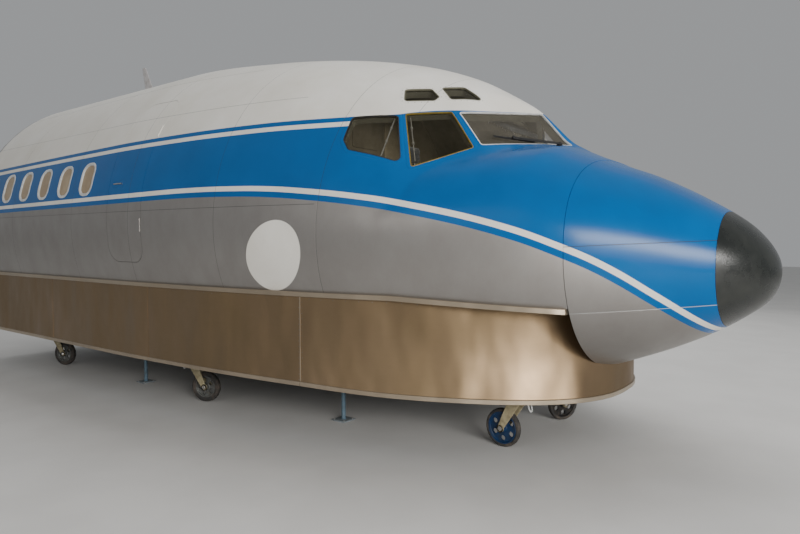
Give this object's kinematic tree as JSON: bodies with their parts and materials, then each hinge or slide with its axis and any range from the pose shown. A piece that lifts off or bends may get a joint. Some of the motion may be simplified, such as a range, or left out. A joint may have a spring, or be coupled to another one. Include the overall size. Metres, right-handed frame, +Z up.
{
  "type": "cut-off forward fuselage section of a four-engined jet airliner on a castored display cradle",
  "caption": "Nose, cockpit and first cabin bays of an old jet airliner, cut off below the floor and stood on a skirted cradle with swivel castors and support legs.",
  "frame": {"origin": "on the floor under the middle of the section's length and width", "axes": "+X towards the nose, +Y to port, +Z up"},
  "size_m": [9.2, 3.76, 4.1883],
  "materials": {
    "radome_black": "satin black erosion paint",
    "hull_paint": "gloss blue, white and silver livery paint",
    "hull_metal": "bare and painted aluminium skin, white roof, blue band",
    "cockpit_glass": "clear laminated glass, slightly green",
    "skirt_metal": "brushed, painted aluminium sheet",
    "cradle_steel": "dark grey painted steel",
    "leg_paint": "blue grey painted steel",
    "castor_paint": "cream painted steel",
    "castor_tyre": "dark rubber tyre on a cast wheel",
    "seat_cloth": "worn dark cloth",
    "panel_grey": "grey panel paint",
    "column_black": "black",
    "wiper_black": "black painted steel",
    "floor_grey": "grey floor paint",
    "antenna_grey": "pale grey paint"
  },
  "bodies": {
    "fuselage_section": {"radome_tip": "radome_black", "radome": "hull_paint", "cockpit_shell": "hull_paint", "windshield_left": "cockpit_glass", "windshield_right": "cockpit_glass", "side_window_2_left": "cockpit_glass", "side_window_2_right": "cockpit_glass", "side_window_3_left": "cockpit_glass", "side_window_3_right": "cockpit_glass", "eyebrow_front_left": "cockpit_glass", "eyebrow_front_right": "cockpit_glass", "eyebrow_rear_left": "cockpit_glass", "eyebrow_rear_right": "cockpit_glass", "cockpit_floor": "floor_grey", "entry_door_port": "hull_metal", "service_door_starboard": "hull_metal", "cabin_forward": "hull_metal", "cabin_aft": "hull_metal", "skirt_forward_left": "skirt_metal", "skirt_forward_right": "skirt_metal", "skirt_aft_left": "skirt_metal", "skirt_aft_right": "skirt_metal", "skirt_prow": "skirt_metal", "ledge_left": "skirt_metal", "ledge_right": "skirt_metal", "rear_bulkhead": "hull_metal", "cradle_rail_left": "cradle_steel", "cradle_rail_right": "cradle_steel", "saddle_1": "cradle_steel", "saddle_2": "cradle_steel", "saddle_3": "cradle_steel", "saddle_4": "cradle_steel", "saddle_5": "cradle_steel", "leg_front_left": "leg_paint", "leg_front_right": "leg_paint", "leg_rear_left": "leg_paint", "leg_rear_right": "leg_paint", "pilot_seat_left": "seat_cloth", "pilot_seat_right": "seat_cloth", "instrument_panel": "panel_grey", "centre_pedestal": "panel_grey", "control_column_left": "column_black", "control_column_right": "column_black", "wiper_left": "wiper_black", "wiper_right": "wiper_black", "crown_antenna": "antenna_grey"},
    "castor_fork_front_left": {"castor_fork_front_left": "castor_paint"},
    "castor_wheel_front_left": {"castor_wheel_front_left": "castor_tyre"},
    "castor_fork_front_right": {"castor_fork_front_right": "castor_paint"},
    "castor_wheel_front_right": {"castor_wheel_front_right": "castor_tyre"},
    "castor_fork_middle_left": {"castor_fork_middle_left": "castor_paint"},
    "castor_wheel_middle_left": {"castor_wheel_middle_left": "castor_tyre"},
    "castor_fork_middle_right": {"castor_fork_middle_right": "castor_paint"},
    "castor_wheel_middle_right": {"castor_wheel_middle_right": "castor_tyre"},
    "castor_fork_rear_left": {"castor_fork_rear_left": "castor_paint"},
    "castor_wheel_rear_left": {"castor_wheel_rear_left": "castor_tyre"},
    "castor_fork_rear_right": {"castor_fork_rear_right": "castor_paint"},
    "castor_wheel_rear_right": {"castor_wheel_rear_right": "castor_tyre"}
  },
  "joints": [
    {"name": "swivel_front_left", "type": "hinge", "parent": "fuselage_section", "child": "castor_fork_front_left", "pos_m": [2.94, 0.44, 0.5], "axis": [0, 0, 1], "continuous": true},
    {"name": "spin_front_left", "type": "hinge", "parent": "castor_fork_front_left", "child": "castor_wheel_front_left", "pos_m": [2.86728, 0.30881, 0.155], "axis": [0.8746, -0.4848, 0], "continuous": true},
    {"name": "swivel_front_right", "type": "hinge", "parent": "fuselage_section", "child": "castor_fork_front_right", "pos_m": [2.94, -0.705, 0.5], "axis": [0, 0, 1], "continuous": true},
    {"name": "spin_front_right", "type": "hinge", "parent": "castor_fork_front_right", "child": "castor_wheel_front_right", "pos_m": [2.79057, -0.69193, 0.155], "axis": [-0.0872, -0.9962, 0], "continuous": true},
    {"name": "swivel_middle_left", "type": "hinge", "parent": "fuselage_section", "child": "castor_fork_middle_left", "pos_m": [-0.42, 1.35, 0.5], "axis": [0, 0, 1], "continuous": true},
    {"name": "spin_middle_left", "type": "hinge", "parent": "castor_fork_middle_left", "child": "castor_wheel_middle_left", "pos_m": [-0.28192, 1.40861, 0.155], "axis": [-0.3907, 0.9205, 0], "continuous": true},
    {"name": "swivel_middle_right", "type": "hinge", "parent": "fuselage_section", "child": "castor_fork_middle_right", "pos_m": [-0.42, -1.35, 0.5], "axis": [0, 0, 1], "continuous": true},
    {"name": "spin_middle_right", "type": "hinge", "parent": "castor_fork_middle_right", "child": "castor_wheel_middle_right", "pos_m": [-0.28192, -1.29139, 0.155], "axis": [-0.3907, 0.9205, 0], "continuous": true},
    {"name": "swivel_rear_left", "type": "hinge", "parent": "fuselage_section", "child": "castor_fork_rear_left", "pos_m": [-3.5, 1.35, 0.5], "axis": [0, 0, 1], "continuous": true},
    {"name": "spin_rear_left", "type": "hinge", "parent": "castor_fork_rear_left", "child": "castor_wheel_rear_left", "pos_m": [-3.36192, 1.40861, 0.155], "axis": [-0.3907, 0.9205, 0], "continuous": true},
    {"name": "swivel_rear_right", "type": "hinge", "parent": "fuselage_section", "child": "castor_fork_rear_right", "pos_m": [-3.5, -1.35, 0.5], "axis": [0, 0, 1], "continuous": true},
    {"name": "spin_rear_right", "type": "hinge", "parent": "castor_fork_rear_right", "child": "castor_wheel_rear_right", "pos_m": [-3.36192, -1.29139, 0.155], "axis": [-0.3907, 0.9205, 0], "continuous": true}
  ]
}
